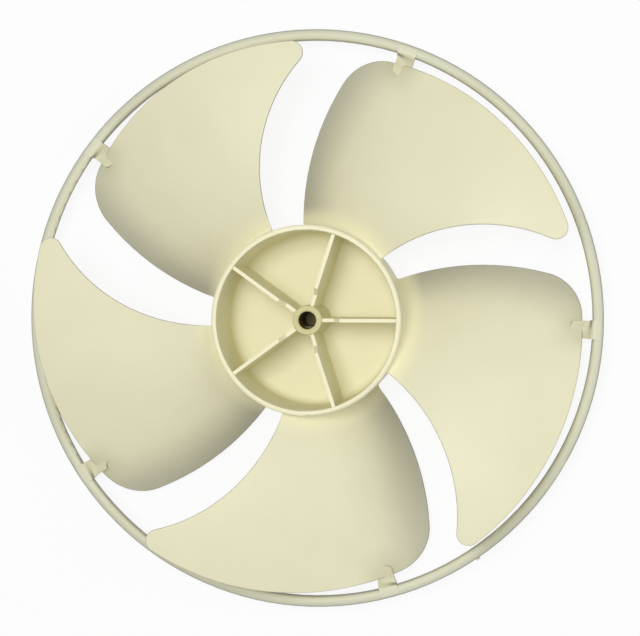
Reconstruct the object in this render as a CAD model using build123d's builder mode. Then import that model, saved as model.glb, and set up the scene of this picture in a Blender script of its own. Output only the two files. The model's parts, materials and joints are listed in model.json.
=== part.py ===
# Axial fan impeller: one plastic moulding with a hub cup, five swept blades and an outer slinger ring.
# Lengths are in millimetres and angles in degrees. The spin axis is Z. Z is zero on the flat back of the
# hub, and +Z points to the open side of the hub, where the motor shaft enters.

import os
from math import acos, atan2, cos, degrees, hypot, radians, sin, sqrt, tan

from build123d import *

os.makedirs("parts", exist_ok=True)

# Blades, each with its own rib and bridge
blade_count = 5

# Slinger ring: a bar with a flat back and a crowned front
ring_outer_radius = 200.0
ring_width = 7.7
ring_height = 5.0
ring_crown = 2.4
ring_lift = 22.5

# Hub cup, open towards +Z and closed by a disc at the back
hub_rim_radius = 64.9
hub_rim_height = 57.0
hub_wall = 3.6
hub_floor = 3.0
hub_draft_angle = 1.2
hub_back_rounding = 1.5
hub_floor_rounding = 5.0
rim_outer_rounding = 1.6
rim_inner_rounding = 0.8

# Boss in the cup, with the shaft bore
boss_top_radius = 10.0
boss_drop = 9.0
boss_draft_angle = 1.0
boss_edge_rounding = 0.8
shaft_radius = 6.0
bore_clearance = 0.1
bore_round_depth = 14.0
seat_squeeze = 0.1
seat_depth = 36.0
seat_flat_distance = 4.5
bore_mouth_chamfer = 0.6

# Ribs from the boss to the hub wall, lower beside the boss
rib_width = 2.4
rib_drop = 1.6
rib_step_radius = 23.0
rib_step_length = 5.0
rib_below_boss = 0.8

# Blade outline seen along the axis, with the blade's own rib on +X: three arcs, each about its own centre
leading_arc_x = -11.5
leading_arc_y = -129.2
leading_arc_radius = 115.0
trailing_arc_x = 117.1
trailing_arc_y = -140.5
trailing_arc_radius = 178.0
tip_arc_x = 4.7
tip_arc_y = -4.2
tip_setback = 11.4
leading_corner_radius = 8.0
trailing_corner_radius = 31.0

# Blade heights at mid thickness, and the arch of the section between the two edges
leading_root_drop = 9.0
leading_tip_rise = 22.8
leading_bow = 10.5
trailing_root_height = 5.4
trailing_tip_height = 5.2
camber_share = 0.064
blade_thickness = 2.5
blade_edge_rounding = 0.9
blade_root_sink = 2.0
blade_root_rounding = 2.5

# Bridges from the blade tips to the ring, each growing out of the blade's skin
bridge_angle = -2.0
bridge_width = 13.0
bridge_thickness = 3.0
bridge_start_thickness = 2.1
bridge_root_overlap = 9.0
bridge_ring_overlap = 1.5
bridge_edge_setback = 2.0

# Gate mark left on the ring's outer edge
gate_mark_angle = -55.0
gate_mark_length = 1.2
gate_mark_radius = 1.3

# How finely the blade skin is worked out
skin_radial_steps = 8
skin_chord_steps = 12
skin_margin = 0.12
skin_tolerance = 0.02
bridge_stations = 7

# Sizes that follow from those above
ring_inner_radius = ring_outer_radius - ring_width
ring_front_height = ring_lift + ring_height
boss_top = hub_rim_height - boss_drop
bore_radius = shaft_radius + bore_clearance
seat_radius = shaft_radius - seat_squeeze
tip_arc_radius = ring_inner_radius - tip_setback
leading_root_height = hub_rim_height - leading_root_drop
leading_tip_height = leading_root_height + leading_tip_rise


def wall_radius(height):
    """Outer radius of the drafted hub wall at a height."""
    return hub_rim_radius - (hub_rim_height - height) * tan(radians(hub_draft_angle))


def arc_angle(centre_x, centre_y, arc_radius, radius):
    """Polar angle, in radians, of the point of an edge arc that lies at a radius from the axis."""
    distance = hypot(centre_x, centre_y)
    swing = (radius**2 + distance**2 - arc_radius**2) / (2 * radius * distance)
    return atan2(centre_y, centre_x) + acos(swing)


def leading_angle(radius):
    return arc_angle(leading_arc_x, leading_arc_y, leading_arc_radius, radius)


def trailing_angle(radius):
    return arc_angle(trailing_arc_x, trailing_arc_y, trailing_arc_radius, radius)


def polar_point(radius, angle):
    return (radius * cos(angle), radius * sin(angle))


def skin_height(radius, share):
    """Height of the blade at mid thickness, with share 0 on the trailing edge and 1 on the leading edge.

    It is a straight fall from edge to edge, plus a parabola that arches towards +Z. The leading edge
    itself is bowed towards +Z between its root and its tip.
    """
    out = (radius - hub_rim_radius) / (ring_inner_radius - hub_rim_radius)
    leading_height = leading_root_height + out * (leading_tip_height - leading_root_height)
    leading_height += leading_bow * 4 * out * (1 - out)
    trailing_height = trailing_root_height + out * (trailing_tip_height - trailing_root_height)
    fall = leading_height - trailing_height
    arc_length = radius * (trailing_angle(radius) - leading_angle(radius))
    arch = camber_share * hypot(arc_length, fall) * 4 * share * (1 - share)
    return trailing_height + share * fall + arch


def skin_point(radius, share):
    angle = trailing_angle(radius) + share * (leading_angle(radius) - trailing_angle(radius))
    return (*polar_point(radius, angle), skin_height(radius, share))


def share_at(radius, angle):
    """Share of the way from the trailing edge to the leading edge, for an angle in radians."""
    return (trailing_angle(radius) - angle) / (trailing_angle(radius) - leading_angle(radius))


def arcs_meet(centre_x, centre_y, arc_radius):
    """Corner where an edge arc meets the tip arc."""
    step_x, step_y = centre_x - tip_arc_x, centre_y - tip_arc_y
    distance = hypot(step_x, step_y)
    along = (tip_arc_radius**2 - arc_radius**2 + distance**2) / (2 * distance)
    across = sqrt(tip_arc_radius**2 - along**2)
    corner_x = tip_arc_x + (along * step_x - across * step_y) / distance
    corner_y = tip_arc_y + (along * step_y + across * step_x) / distance
    return (corner_x, corner_y)


# Hub cup and boss, turned from one half section
boss_foot_radius = boss_top_radius + (boss_top - hub_floor) * tan(radians(boss_draft_angle))
back_corner = (wall_radius(0), 0)
rim_outside = (hub_rim_radius, hub_rim_height)
rim_inside = (hub_rim_radius - hub_wall, hub_rim_height)
floor_corner = (wall_radius(hub_floor) - hub_wall, hub_floor)
boss_edge = (boss_top_radius, boss_top)
hub_corner_roundings = {
    back_corner: hub_back_rounding,
    rim_outside: rim_outer_rounding,
    rim_inside: rim_inner_rounding,
    floor_corner: hub_floor_rounding,
    boss_edge: boss_edge_rounding,
}

with BuildPart() as hub:
    with BuildSketch(Plane.XZ) as hub_section:
        with BuildLine():
            Polyline((0, boss_top), (0, 0), back_corner, rim_outside, rim_inside, floor_corner)
            Polyline(floor_corner, (boss_foot_radius, hub_floor), boss_edge, (0, boss_top))
        make_face()
        for corner, rounding in hub_corner_roundings.items():
            fillet(hub_section.vertices().sort_by_distance(corner)[0], rounding)
    revolve(axis=Axis.Z)

# One rib, a plate that steps down beside the boss
with BuildPart() as rib:
    with BuildSketch(Plane.XZ):
        with BuildLine():
            rib_end_radius = hub_rim_radius - blade_root_sink
            rib_top = hub_rim_height - rib_drop
            rib_inner_top = boss_top - rib_below_boss
            Polyline(
                (0, hub_floor / 2),
                (wall_radius(0) - blade_root_sink, hub_floor / 2),
                (rib_end_radius, rib_top),
                (rib_step_radius, rib_top),
                (rib_step_radius - rib_step_length, rib_inner_top),
                (0, rib_inner_top),
                close=True,
            )
        make_face()
    extrude(amount=rib_width / 2, both=True)

# Blade skin at mid thickness, a little larger than the blade on every side
skin_inner_radius = hub_rim_radius - 2 * blade_root_sink
skin_outer_radius = ring_inner_radius
skin_shares = [
    -skin_margin + (1 + 2 * skin_margin) * step / skin_chord_steps for step in range(skin_chord_steps + 1)
]
skin_radii = [
    skin_inner_radius + (skin_outer_radius - skin_inner_radius) * step / skin_radial_steps
    for step in range(skin_radial_steps + 1)
]
skin_grid = [[skin_point(radius, share) for share in skin_shares] for radius in skin_radii]
blade_skin = Face.make_surface_from_array_of_points(skin_grid, tol=skin_tolerance)

# Corners and through points of the blade outline
leading_corner = arcs_meet(leading_arc_x, leading_arc_y, leading_arc_radius)
trailing_corner = arcs_meet(trailing_arc_x, trailing_arc_y, trailing_arc_radius)
middle_radius = (hub_rim_radius + ring_inner_radius) / 2
leading_root = polar_point(skin_inner_radius, leading_angle(skin_inner_radius))
leading_middle = polar_point(middle_radius, leading_angle(middle_radius))
trailing_root = polar_point(skin_inner_radius, trailing_angle(skin_inner_radius))
trailing_middle = polar_point(middle_radius, trailing_angle(middle_radius))
tip_middle_angle = radians(bridge_angle)
tip_middle = (
    tip_arc_x + tip_arc_radius * cos(tip_middle_angle),
    tip_arc_y + tip_arc_radius * sin(tip_middle_angle),
)
blade_root_radius = hub_rim_radius - blade_root_sink


def is_blade_rim(edge):
    """True for the long edges round a blade, and not for those in the hub wall or across the thickness."""
    middle = edge.position_at(0.5)
    outside_wall = hypot(middle.X, middle.Y) > blade_root_radius + skin_tolerance
    return outside_wall and edge.geom_type != GeomType.LINE


# One blade: the skin given its thickness, cut to the outline and rounded at the edges
with BuildPart() as blade:
    thicken(blade_skin, amount=blade_thickness / 2, both=True)
    with BuildSketch() as blade_outline:
        with BuildLine():
            ThreePointArc(leading_root, leading_middle, leading_corner)
            ThreePointArc(leading_corner, tip_middle, trailing_corner)
            ThreePointArc(trailing_corner, trailing_middle, trailing_root)
            Line(trailing_root, leading_root)
        make_face()
        fillet(blade_outline.vertices().sort_by_distance(leading_corner)[0], leading_corner_radius)
        fillet(blade_outline.vertices().sort_by_distance(trailing_corner)[0], trailing_corner_radius)
        Circle(blade_root_radius, mode=Mode.SUBTRACT)
    extrude(amount=leading_tip_height + 2 * blade_thickness, both=True, mode=Mode.INTERSECT)
    fillet(blade.edges().filter_by(is_blade_rim), blade_edge_rounding)

# Path of a bridge: along the skin inside the blade's tip, then across to the front of the ring
bridge_direction = radians(bridge_angle)
tip_centre_along = tip_arc_x * cos(bridge_direction) + tip_arc_y * sin(bridge_direction)
tip_centre_across = tip_arc_y * cos(bridge_direction) - tip_arc_x * sin(bridge_direction)
tip_edge_radius = tip_centre_along + sqrt(tip_arc_radius**2 - tip_centre_across**2)
bridge_start_radius = tip_edge_radius - bridge_root_overlap
bridge_end_radius = ring_inner_radius + bridge_ring_overlap
bridge_end_height = ring_front_height - bridge_thickness / 2
pitch_step = radians(1)


def bridge_pitch(radius):
    """Slope of the blade across a bridge, in degrees."""
    upper_share = share_at(radius, bridge_direction + pitch_step)
    lower_share = share_at(radius, bridge_direction - pitch_step)
    rise = skin_height(radius, upper_share) - skin_height(radius, lower_share)
    return degrees(atan2(rise, 2 * pitch_step * radius))


def bridge_plane(radius):
    """Plane across the bridge at a radius.

    Up to the edge of the blade it lies on the skin. From there its height and its pitch ease to
    those of the ring as 3 s^2 - 2 s^3.
    """
    share = max(0, (radius - tip_edge_radius) / (bridge_end_radius - tip_edge_radius))
    ease = share**2 * (3 - 2 * share)
    height = skin_height(radius, share_at(radius, bridge_direction))
    plane = Plane(
        origin=(*polar_point(radius, bridge_direction), height + ease * (bridge_end_height - height)),
        x_dir=(-sin(bridge_direction), cos(bridge_direction), 0),
        z_dir=(*polar_point(1, bridge_direction), 0),
    )
    return plane.rotated((0, 0, bridge_pitch(radius) * (1 - ease)))


with BuildPart() as bridge:
    for station in range(bridge_stations):
        along = station * (bridge_end_radius - bridge_start_radius) / (bridge_stations - 1)
        grown = min(1, along / bridge_root_overlap)
        with BuildSketch(bridge_plane(bridge_start_radius + along)):
            Rectangle(
                bridge_width,
                bridge_start_thickness + grown * (bridge_thickness - bridge_start_thickness),
            )
    loft()
    ring_front = Plane(
        origin=(0, 0, ring_front_height), x_dir=(*polar_point(1, bridge_direction), 0), z_dir=(0, 0, 1)
    )
    with BuildSketch(ring_front):
        pad_end_radius = ring_outer_radius - bridge_edge_setback
        with Locations(((bridge_end_radius - bridge_ring_overlap / 2 + pad_end_radius) / 2, 0)):
            Rectangle(pad_end_radius - bridge_end_radius + bridge_ring_overlap / 2, bridge_width)
    extrude(amount=-bridge_thickness)

# Slinger ring with its gate mark
with BuildPart() as ring:
    with BuildSketch(Plane.XZ):
        with BuildLine():
            ring_shoulder = ring_front_height - ring_crown
            ring_inner_edge = (ring_inner_radius, ring_shoulder)
            ring_outer_edge = (ring_outer_radius, ring_shoulder)
            ring_back_edges = ((ring_outer_radius, ring_lift), (ring_inner_radius, ring_lift))
            Polyline(ring_outer_edge, *ring_back_edges, ring_inner_edge)
            ring_crest = (ring_outer_radius - ring_width / 2, ring_front_height)
            ThreePointArc(ring_inner_edge, ring_crest, ring_outer_edge)
        make_face()
    revolve(axis=Axis.Z)
    gate_direction = radians(gate_mark_angle)
    gate_height = (ring_lift + ring_shoulder) / 2
    gate_plane = Plane(
        origin=(*polar_point(ring_outer_radius - ring_width / 2, gate_direction), gate_height),
        z_dir=(*polar_point(1, gate_direction), 0),
    )
    with BuildSketch(gate_plane):
        Circle(gate_mark_radius)
    extrude(amount=ring_width / 2 + gate_mark_length)


def is_blade_root(edge):
    """True for the edges where a blade meets the outside of the hub wall."""
    places = [edge.position_at(share) for share in (0.1, 0.5, 0.9)]
    on_wall = all(abs(hypot(p.X, p.Y) - wall_radius(p.Z)) < skin_tolerance for p in places)
    below_rim = all(p.Z < hub_rim_height - rim_outer_rounding - skin_tolerance for p in places)
    above_back = all(p.Z > hub_back_rounding + skin_tolerance for p in places)
    turns = abs(places[0].Z - places[2].Z) > skin_tolerance
    return on_wall and below_rim and above_back and turns and edge.geom_type != GeomType.LINE


with BuildPart() as fan_impeller:
    add(hub.part)
    with PolarLocations(0, blade_count):
        add(blade.part)
    fillet(fan_impeller.edges().filter_by(is_blade_root), blade_root_rounding)
    with PolarLocations(0, blade_count):
        add(rib.part)
        add(bridge.part)
    add(ring.part)

    # Shaft bore: a clear round mouth, then a snug seat with a flat that drives the fan
    with BuildSketch(Plane.XY.offset(boss_top)):
        Circle(bore_radius + bore_mouth_chamfer)
    extrude(amount=-bore_mouth_chamfer, taper=45, mode=Mode.SUBTRACT)
    with BuildSketch(Plane.XY.offset(boss_top)):
        Circle(bore_radius)
    extrude(amount=-bore_round_depth, mode=Mode.SUBTRACT)
    with BuildSketch(Plane.XY.offset(boss_top)):
        Circle(seat_radius)
        with Locations((0, seat_radius - seat_flat_distance)):
            Rectangle(2 * seat_radius, 2 * seat_radius, mode=Mode.INTERSECT)
    extrude(amount=-seat_depth, mode=Mode.SUBTRACT)

fan_impeller.part.label = "fan_impeller"
export_step(fan_impeller.part, "parts/fan_impeller.step")
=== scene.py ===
# %% [markdown]
# # An ivory axial fan impeller, dressed for its portrait
#
# The impeller is one injection moulding in cream plastic: a deep open hub cup with ribs and a
# shaft boss, swept blades, and a thin slinger ring held to the blade tips by small bridges. Its
# solid comes ready made from the CAD frame, so no shape is added here. This lesson gives that
# solid its plastic, lights it softly and looks down on it as for a catalogue.
#
# First the frame is loaded and measured. The tints and the floor take their places from these
# measures, so they stay where they belong if the part is ever made again at another size. The
# grain, the lamps and the camera are set for the present size.

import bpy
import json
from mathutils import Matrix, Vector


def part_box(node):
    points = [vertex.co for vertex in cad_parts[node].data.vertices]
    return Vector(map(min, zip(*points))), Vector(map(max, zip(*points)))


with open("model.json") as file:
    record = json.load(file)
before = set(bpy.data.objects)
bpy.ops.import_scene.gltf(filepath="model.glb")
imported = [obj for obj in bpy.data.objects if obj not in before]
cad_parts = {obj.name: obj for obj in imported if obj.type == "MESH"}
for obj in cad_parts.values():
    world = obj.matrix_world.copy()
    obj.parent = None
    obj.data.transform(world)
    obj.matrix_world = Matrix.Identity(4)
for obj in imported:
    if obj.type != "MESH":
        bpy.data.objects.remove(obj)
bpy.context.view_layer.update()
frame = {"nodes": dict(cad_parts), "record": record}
print("pieces in the frame:", ", ".join(frame["nodes"]))

# %% Measure the impeller
import json
from math import cos, pi, radians, sin

import bpy
import numpy as np
from mathutils import Matrix, Vector

impeller = frame["nodes"]["fan_impeller"]
lowest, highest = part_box("fan_impeller")
overall_radius = (highest[0] - lowest[0]) / 2
overall_height = highest[2]
bore = next(m for m in frame["record"]["mounts"] if m["name"] == "shaft_bore")
bore_radius = bore["dims"]["r_mm"] / 1000
boss_top = bore["pos_m"][2]
print(f"ring radius {overall_radius:.4f} m, overall height {overall_height:.4f} m")
print(f"bore radius {bore_radius:.4f} m, boss top at {boss_top:.4f} m")

# %% [markdown]
# ## The plastic
#
# Ivory polypropylene is nearly even in colour, but a large part cools at different speeds from
# place to place, which leaves broad, very faint clouds in the tone. A painted picture could show
# them, but it would stretch over the swept blades. A single flat colour would look like paint. So
# a wide noise goes back and forth between two close creams. It reads Object coordinates, so the
# clouds stay on the part as the camera moves.


# %% The cloudy ivory tone
def add_node(tree, kind, **settings):
    """Adds one shader node and sets its plain properties or its input sockets by name."""
    node = tree.nodes.new(kind)
    for name, value in settings.items():
        if hasattr(node, name):
            setattr(node, name, value)
        else:
            node.inputs[name.replace("_", " ")].default_value = value
    return node


deeper_ivory = (0.815, 0.780, 0.530, 1)
paler_ivory = (0.850, 0.815, 0.560, 1)

plastic = bpy.data.materials.new("ivory plastic")
plastic.use_nodes = True
plastic_tree = plastic.node_tree
skin = plastic_tree.nodes["Principled BSDF"]
skin.inputs["Specular IOR Level"].default_value = 0.35
coordinates = add_node(plastic_tree, "ShaderNodeTexCoord")
place = coordinates.outputs["Object"]
clouds = add_node(plastic_tree, "ShaderNodeTexNoise", Scale=14.0, Detail=3.0, Roughness=0.55)
tones = add_node(plastic_tree, "ShaderNodeValToRGB")
deeper_end, paler_end = tones.color_ramp.elements
deeper_end.position, deeper_end.color = 0.35, deeper_ivory
paler_end.position, paler_end.color = 0.65, paler_ivory
plastic_tree.links.new(place, clouds.inputs["Vector"])
plastic_tree.links.new(clouds.outputs["Fac"], tones.inputs["Fac"])
print("ivory between", deeper_ivory[:3], "and", paler_ivory[:3])

# %% [markdown]
# ### Where on the part a point lies
#
# The impeller's tone changes with the place, partly as tints and partly as painted shade. It could
# be painted on the corners of the mesh, but then it would have to be painted again after each
# change of the solid. The shape is so regular that four measures of a point tell where it lies:
# its height, its distance from the spin axis, how level the surface is there, and how far aside of
# the nearest bridge it lies. For the last one the angle about the axis is wrapped, so that the
# five bridges count as one.


# %% The four measures of a point
def worked_out(tree, operation, first, *others):
    """One step of arithmetic on a value that varies. The other operands are sockets or numbers."""
    step = add_node(tree, "ShaderNodeMath", operation=operation)
    tree.links.new(first, step.inputs[0])
    for number, operand in enumerate(others, start=1):
        if isinstance(operand, (int, float)):
            step.inputs[number].default_value = operand
        else:
            tree.links.new(operand, step.inputs[number])
    return step.outputs["Value"]


blade_count = 5
half_spacing = pi / blade_count
bridge_angle = radians(-2.0)

position = add_node(plastic_tree, "ShaderNodeSeparateXYZ")
flattened = add_node(plastic_tree, "ShaderNodeVectorMath", operation="MULTIPLY")
flattened.inputs[1].default_value = (1, 1, 0)
from_axis = add_node(plastic_tree, "ShaderNodeVectorMath", operation="LENGTH")
plastic_tree.links.new(place, position.inputs["Vector"])
plastic_tree.links.new(place, flattened.inputs[0])
plastic_tree.links.new(flattened.outputs["Vector"], from_axis.inputs[0])
height = position.outputs["Z"]
radius = from_axis.outputs["Value"]

normal = add_node(plastic_tree, "ShaderNodeSeparateXYZ")
plastic_tree.links.new(coordinates.outputs["Normal"], normal.inputs["Vector"])
level = worked_out(plastic_tree, "ABSOLUTE", normal.outputs["Z"])

angle = worked_out(plastic_tree, "ARCTAN2", position.outputs["Y"], position.outputs["X"])
wrapped = worked_out(
    plastic_tree, "WRAP", angle, bridge_angle + half_spacing, bridge_angle - half_spacing
)
turned_away = worked_out(
    plastic_tree, "ABSOLUTE", worked_out(plastic_tree, "SUBTRACT", wrapped, bridge_angle)
)
aside = worked_out(plastic_tree, "MULTIPLY", turned_away, radius)
print("nodes in the plastic so far:", len(plastic_tree.nodes))

# %% [markdown]
# ### Limits of the tinted places
#
# Nothing on a moulding changes its tone with a hard line, apart from a step in the shape. So each
# limit has two ends: the value of its measure at which a tint is full, and the one at which it is
# gone. Between the two it fades.

# %% Each limit: the measure, where the tint is full, where it is gone
hub_radius = 0.325 * overall_radius
ring_top = 0.375 * overall_height
bridge_width = 0.065 * overall_radius

off_the_hub = (radius, 1.25 * hub_radius, 1.03 * hub_radius)
low_down = (height, 0.06 * overall_height, 0.42 * overall_height)
short_of_the_ring = (radius, 0.93 * overall_radius, 0.96 * overall_radius)
near_a_bridge = (aside, 0.25 * bridge_width, 1.5 * bridge_width)
out_at_the_tip = (radius, 0.930 * overall_radius, 0.800 * overall_radius)
up_to_the_ring = (radius, 0.955 * overall_radius, 0.970 * overall_radius)
around_the_boss = (radius, 1.5 * bore_radius, 1.9 * bore_radius)
up_to_the_boss_top = (height, boss_top + 0.002, boss_top + 0.004)
above_the_back = (height, 0.06 * overall_height, 0.03 * overall_height)
within_the_bore = (radius, 1.03 * bore_radius, 1.08 * bore_radius)
below_the_mouth = (height, boss_top - 0.5 * bore_radius, boss_top)
where_it_is_steep = (level, 0.50, 0.88)
on_the_ring = (radius, 0.985 * overall_radius, 0.950 * overall_radius)
at_ring_height = (height, ring_top, ring_top + 0.003)
print(f"hub radius {hub_radius:.4f} m, ring top at {ring_top:.4f} m")
print(f"bridge {bridge_width:.4f} m wide")

# %% [markdown]
# ### The tints
#
# In the photograph the blades are a little deeper in tone than the hub. Painted shade deepens them
# again around the bridges, and most along the trailing edge, which lies lowest. The ring is a
# shade greyer. Painted shade draws the rounded edges of blades and ring as grey lines, makes the
# boss duller than the cup and the deep bore nearly black. Separate materials would meet in hard
# lines, so each tint multiplies the ivory instead, as far as its limits say. This shade is in the
# photograph, and the soft light of this scene doesn't give it by itself.


# %% Each tint in its place, one over the other
def fade(tree, measure, full_at, gone_at):
    """A share that goes from one to zero along a smooth step, between two values of a measure."""
    step = add_node(
        tree, "ShaderNodeMapRange", interpolation_type="SMOOTHSTEP",
        From_Min=full_at, From_Max=gone_at, To_Min=1.0, To_Max=0.0,
    )
    tree.links.new(measure, step.inputs["Value"])
    return step.outputs["Result"]


def tinted(tree, colour, tint, limits):
    """The colour times the tint, as far as the product of the fades of all limits says."""
    share, *others = [fade(tree, *limit) for limit in limits]
    for other in others:
        share = worked_out(tree, "MULTIPLY", share, other)
    mix = add_node(tree, "ShaderNodeMix", data_type="RGBA", blend_type="MULTIPLY")
    mix.inputs[7].default_value = tint
    tree.links.new(share, mix.inputs[0])
    tree.links.new(colour, mix.inputs[6])
    return mix.outputs[2]


tints = {
    "blades": ((0.915, 0.920, 0.945, 1), [off_the_hub]),
    # painted shade: a soft darker zone on the blades around each bridge
    "around the bridges": (
        (0.86, 0.86, 0.83, 1), [near_a_bridge, out_at_the_tip, up_to_the_ring]
    ),
    # painted shade: darkens the low trailing part of each blade, where the steeper slope turns
    # away from the light
    "painted shade on the trailing side": ((0.66, 0.66, 0.71, 1), [low_down, off_the_hub, short_of_the_ring]),
    # painted shade: darkens the boss and the floor round its foot, at the bottom of the cup
    "boss": ((0.68, 0.66, 0.48, 1), [around_the_boss, up_to_the_boss_top, above_the_back]),
    # painted shade: nearly black inside the deep blind bore
    "bore": ((0.20, 0.15, 0.01, 1), [within_the_bore, below_the_mouth]),
    # painted shade: grey lines where the rounded edges of blades and ring turn steep
    "edges": ((0.50, 0.50, 0.56, 1), [where_it_is_steep, off_the_hub]),
    "ring": ((0.83, 0.86, 0.93, 1), [on_the_ring, at_ring_height]),
}
colour = tones.outputs["Color"]
for tint, limits in tints.values():
    colour = tinted(plastic_tree, colour, tint, limits)
plastic_tree.links.new(colour, skin.inputs["Base Color"])
print("tints:", ", ".join(tints))

# %% [markdown]
# ### The grain
#
# The steel of a mould is finely eroded, and the plastic copies it as a satin skin. Real bumps
# would take millions of faces. One fine noise does both things that the eye sees of them: it
# moves the roughness a little, and it drives a very shallow bump.

# %% The satin grain
smoothest, roughest = 0.42, 0.56
grain = add_node(plastic_tree, "ShaderNodeTexNoise", Scale=900.0, Detail=2.0, Roughness=0.5)
satin = add_node(plastic_tree, "ShaderNodeMapRange", To_Min=smoothest, To_Max=roughest)
bump = add_node(plastic_tree, "ShaderNodeBump", Strength=0.12, Distance=0.0001)
plastic_tree.links.new(place, grain.inputs["Vector"])
plastic_tree.links.new(grain.outputs["Fac"], satin.inputs["Value"])
plastic_tree.links.new(satin.outputs["Result"], skin.inputs["Roughness"])
plastic_tree.links.new(grain.outputs["Fac"], bump.inputs["Height"])
plastic_tree.links.new(bump.outputs["Normal"], skin.inputs["Normal"])
print(f"roughness from {smoothest} to {roughest}")

# %% [markdown]
# ### The plastic goes on
#
# A moulding has one material right through, so its mesh needs no second one. The plain stand-in
# that the solid came with is taken off first, because a face shows the first material of its mesh.

# %% The plastic goes onto the impeller
impeller.data.materials.clear()
impeller.data.materials.append(plastic)
print("material:", plastic.name, "with", len(plastic_tree.nodes), "nodes")

# %% [markdown]
# ## Floor and backdrop
#
# A catalogue cut-out stands on pure white. A stronger lamp could burn a grey floor out to white,
# but the ivory would burn out with it. So the floor is a large plain sheet under the hub that
# shines at strength one for the rays that the camera or a reflection follows, with a little of
# its true shading left in, which keeps the soft shadow of the blades. For all other rays it is a
# plain pale sheet, so no extra light reaches the impeller.


# %% The white floor
def seen_or_mirrored(tree):
    """One for rays from the camera, in a reflection or through glass, and zero for all others."""
    rays = add_node(tree, "ShaderNodeLightPath").outputs
    seen = worked_out(tree, "MAXIMUM", rays["Is Camera Ray"], rays["Is Glossy Ray"])
    return worked_out(tree, "MAXIMUM", seen, rays["Is Transmission Ray"])


def white_floor(glow_share):
    """White where it is seen, apart from a share of real shading, and plain diffuse elsewhere."""
    material = bpy.data.materials.new("white floor")
    material.use_nodes = True
    tree = material.node_tree
    tree.nodes.clear()
    output = add_node(tree, "ShaderNodeOutputMaterial")
    shading = add_node(tree, "ShaderNodeBsdfDiffuse", Color=(0.85, 0.85, 0.85, 1))
    glow = add_node(tree, "ShaderNodeEmission", Color=(1, 1, 1, 1), Strength=1.0)
    as_seen = add_node(tree, "ShaderNodeMixShader", Fac=glow_share)
    pick = add_node(tree, "ShaderNodeMixShader")
    tree.links.new(shading.outputs["BSDF"], as_seen.inputs[1])
    tree.links.new(glow.outputs["Emission"], as_seen.inputs[2])
    tree.links.new(seen_or_mirrored(tree), pick.inputs["Fac"])
    tree.links.new(shading.outputs["BSDF"], pick.inputs[1])
    tree.links.new(as_seen.outputs["Shader"], pick.inputs[2])
    tree.links.new(pick.outputs["Shader"], output.inputs["Surface"])
    return material


floor_half = 30 * overall_radius
gap_under_hub = overall_radius / 1000
floor_mesh = bpy.data.meshes.new("floor")
corners = np.array([[-1, -1, 0], [1, -1, 0], [1, 1, 0], [-1, 1, 0]]) * floor_half
floor_mesh.from_pydata(corners.tolist(), [], [[0, 1, 2, 3]])
floor_mesh.materials.append(white_floor(glow_share=0.88))
floor = bpy.data.objects.new("floor", floor_mesh)
floor.location.z = lowest[2] - gap_under_hub
bpy.context.scene.collection.objects.link(floor)
print(f"floor {2 * floor_half:.0f} m wide at z = {floor.location.z:.4f} m")

# %% [markdown]
# ## Light
#
# The photograph is lit almost from the camera: the floor of the deep cup is as bright as anything
# else, and each rib throws only a narrow soft shadow, downwards and to the right. A small lamp
# there would draw hard shadows, so the key is a wide soft one close to the camera's line, a
# little up and to the left of the spin axis. A weaker and wider lamp at the right reaches the
# left inner wall of the cup, which is bright in the photograph. A pale room fills the rest. Where
# the camera or a reflection sees that room, it is as white as the floor.


# %% Lamps and room
def soft_lamp(name, towards, distance, size, power):
    """A square area lamp that shines on the impeller from a direction."""
    lamp = bpy.data.lights.new(name, "AREA")
    lamp.size = size
    lamp.energy = power
    holder = bpy.data.objects.new(name, lamp)
    direction = Vector(towards).normalized()
    holder.location = direction * distance
    holder.rotation_mode = "QUATERNION"
    holder.rotation_quaternion = direction.to_track_quat("Z", "Y")
    bpy.context.scene.collection.objects.link(holder)
    return holder


def pale_room(fill):
    """A white world, full white where it is seen and a weaker fill for the impeller."""
    world = bpy.data.worlds.new("pale room")
    world.use_nodes = True
    tree = world.node_tree
    background = tree.nodes["Background"]
    background.inputs["Color"].default_value = (1, 1, 1, 1)
    strength = add_node(tree, "ShaderNodeMapRange", To_Min=fill)
    tree.links.new(seen_or_mirrored(tree), strength.inputs["Value"])
    tree.links.new(strength.outputs["Result"], background.inputs["Strength"])
    return world


key = soft_lamp("key", towards=(-0.05, 0.11, 1.0), distance=2.0, size=0.8, power=23.0)
side = soft_lamp("side", towards=(1.0, 0.0, 0.75), distance=2.0, size=1.2, power=6.0)
bpy.context.scene.world = pale_room(fill=0.37)
for lamp_holder in (key, side):
    print(lamp_holder.name, "lamp at", tuple(round(v, 2) for v in lamp_holder.location))

# %% [markdown]
# ## Camera
#
# The camera looks almost straight into the open hub, from a little to the right and slightly
# above the middle of the picture. A tracked camera would follow the fan, but its roll would be a
# guess. One turn of a camera that looks down the spin axis sets it all: the view leans from +Z by
# the tilt, towards the lean direction, and the picture's right and up are +X and +Y turned with
# it. The lens follows from how large the ring stands in the frame, and a small shift brings the
# ring's centre to its place in the photograph.

# %% The photograph's camera
picture_width = 640
film_width = 36.0
tilt = radians(8.0)
lean = radians(12.4)
camera_distance = 6.5 * overall_radius
ring_middle = Vector((0, 0, 0.0250))
pixels_per_metre = 1444.3
centre_left_of_middle = 8.3
centre_below_middle = 1.3

turn = Matrix.Rotation(tilt, 4, Vector((-sin(lean), cos(lean), 0)))
above_ring = Matrix.Translation(ring_middle + turn @ Vector((0, 0, camera_distance)))
camera_data = bpy.data.cameras.new("camera")
camera_data.sensor_width = film_width
camera_data.lens = film_width * pixels_per_metre * camera_distance / picture_width
camera_data.shift_x = centre_left_of_middle / picture_width
camera_data.shift_y = centre_below_middle / picture_width
camera = bpy.data.objects.new("camera", camera_data)
camera.matrix_world = above_ring @ turn
bpy.context.scene.collection.objects.link(camera)
bpy.context.scene.camera = camera
bpy.context.scene.view_settings.view_transform = "Standard"
print(f"lens {camera_data.lens:.1f} mm at {camera_distance:.2f} m")
